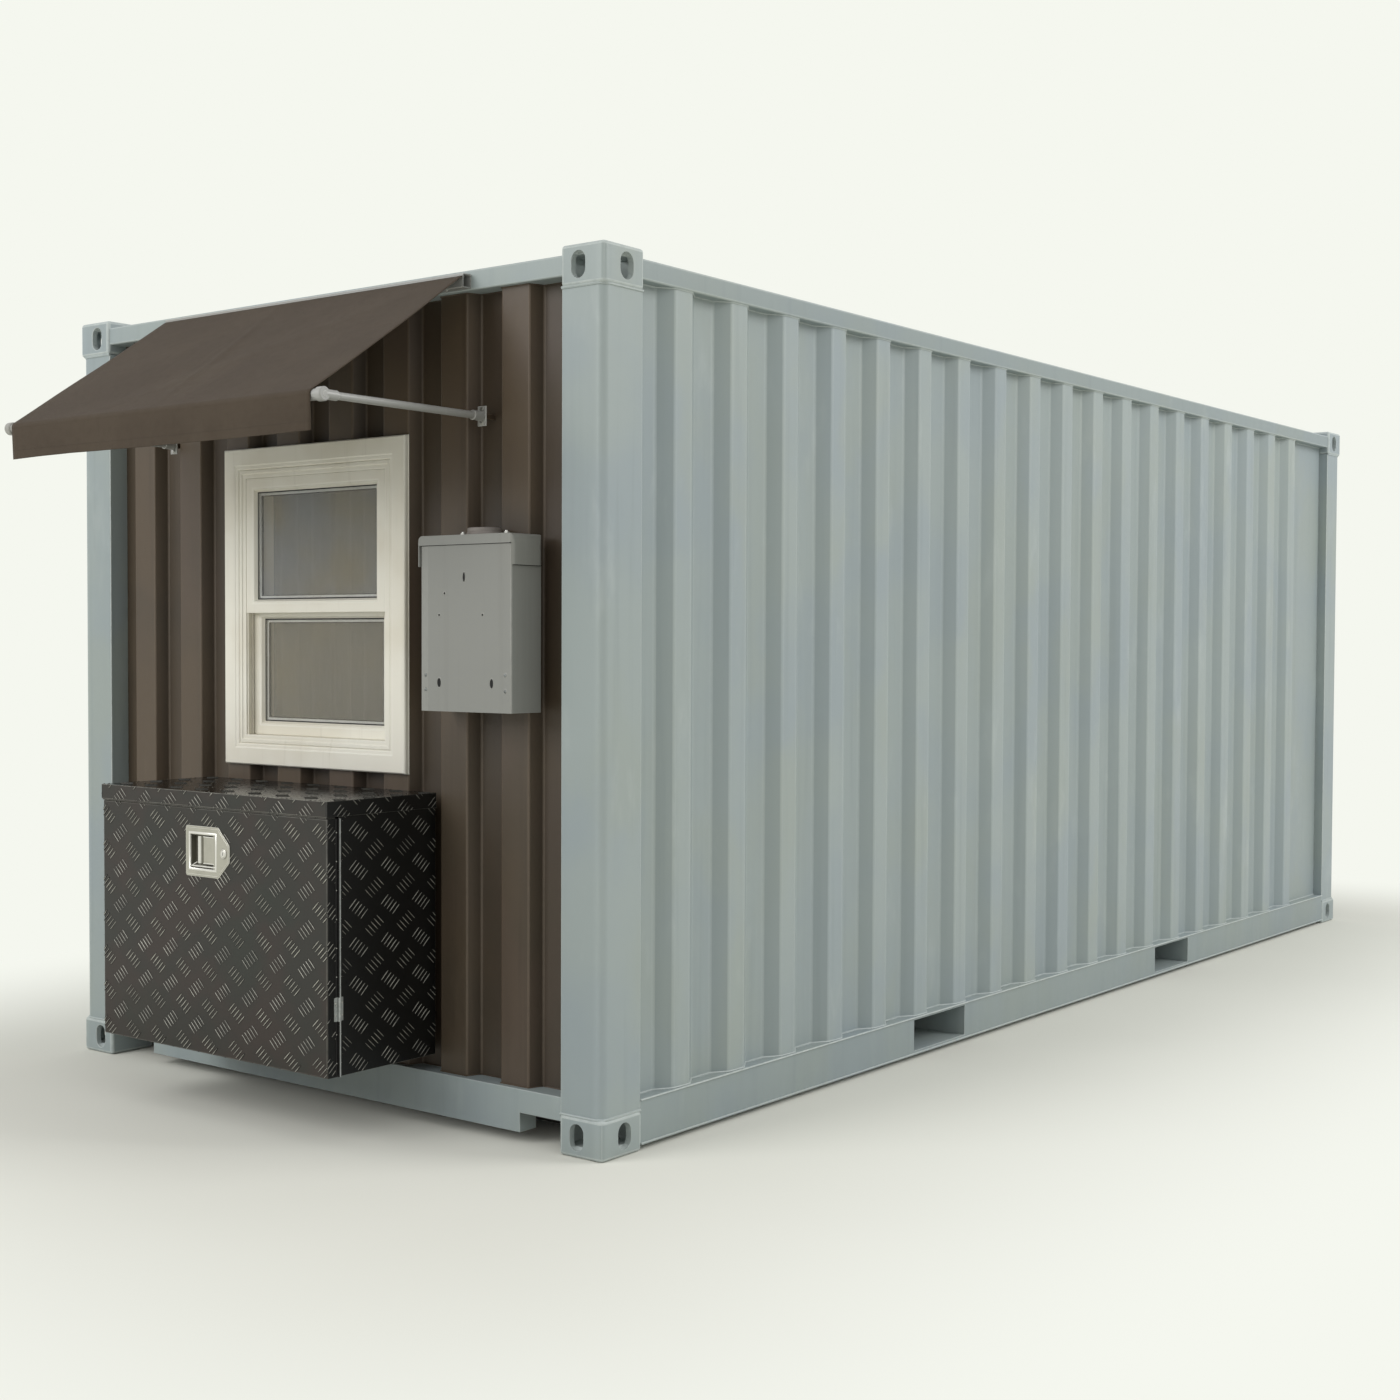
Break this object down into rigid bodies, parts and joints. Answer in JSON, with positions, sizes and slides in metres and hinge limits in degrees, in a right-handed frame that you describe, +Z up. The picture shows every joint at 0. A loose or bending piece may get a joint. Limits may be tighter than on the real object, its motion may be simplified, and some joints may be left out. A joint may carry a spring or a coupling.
{
  "type": "shipping container cabin",
  "caption": "Corrugated steel freight container turned into a small cabin, with a sash window, an awning, a service box and a lockable tool locker on its end wall.",
  "frame": {"origin": "on the ground, under the middle of the whole object's box, awning included", "axes": "+X across the width, to the right of a person who faces the window wall, +Y along the container from the window wall to the cargo doors, +Z up"},
  "size_m": [2.438, 6.67, 2.591],
  "materials": {
    "container_paint": "satin blue-grey paint",
    "underframe_paint": "matt dark grey paint",
    "plywood": "plywood boards",
    "brown_paint": "satin brown paint",
    "window_white": "white vinyl",
    "window_pane": "clear window glass",
    "awning_cloth": "brown woven awning cloth",
    "awning_metal": "satin grey aluminium",
    "box_paint": "satin grey enamel",
    "toolbox_black": "black coated tread plate",
    "hinge_steel": "dulled steel",
    "latch_steel": "brushed stainless steel"
  },
  "bodies": {
    "cabin": {"castings_front_right": "container_paint", "castings_front_left": "container_paint", "castings_rear_right": "container_paint", "castings_rear_left": "container_paint", "front_corner_posts": "container_paint", "rear_corner_posts": "container_paint", "top_side_rails": "container_paint", "front_header": "container_paint", "rear_header": "container_paint", "front_sill": "container_paint", "rear_sill": "container_paint", "bottom_rail_right": "container_paint", "bottom_rail_left": "container_paint", "side_wall_right": "container_paint", "side_wall_left": "container_paint", "roof_panel": "container_paint", "cargo_door_right": "container_paint", "cargo_door_left": "container_paint", "cargo_lock_rods": "container_paint", "cargo_hinges": "container_paint", "fork_pockets": "underframe_paint", "floor_joists": "underframe_paint", "floor": "plywood", "front_wall": "brown_paint", "window_trim": "window_white", "window_frame": "window_white", "upper_sash": "window_white", "lower_sash": "window_white", "window_glass": "window_pane", "awning_canopy": "awning_cloth", "awning_head_rail": "awning_metal", "awning_front_bar": "awning_metal", "awning_arm_right": "awning_metal", "awning_arm_left": "awning_metal", "arm_brackets": "awning_metal", "electric_box": "box_paint", "electric_cover": "box_paint", "electric_hood": "box_paint", "conduit_hub": "box_paint", "toolbox_body": "toolbox_black", "toolbox_cap": "toolbox_black", "hinge_fixed_half": "hinge_steel"},
    "toolbox_door_leaf": {"toolbox_door": "toolbox_black", "hinge_door_half": "hinge_steel", "latch_plate": "latch_steel", "lock_cylinder": "latch_steel"},
    "paddle": {"latch_paddle": "latch_steel"}
  },
  "joints": [
    {"name": "toolbox_door_hinge", "type": "hinge", "parent": "cabin", "child": "toolbox_door_leaf", "pos_m": [0.533, -3.0825, 0.5875], "axis": [0, 0, 1], "range_deg": [0, 115]},
    {"name": "latch_paddle_pull", "type": "hinge", "parent": "toolbox_door_leaf", "child": "paddle", "pos_m": [0.023, -3.122, 0.83], "axis": [0, 0, 1], "range_deg": [0, 35], "stiffness_Nm_per_rad": 0.5}
  ]
}
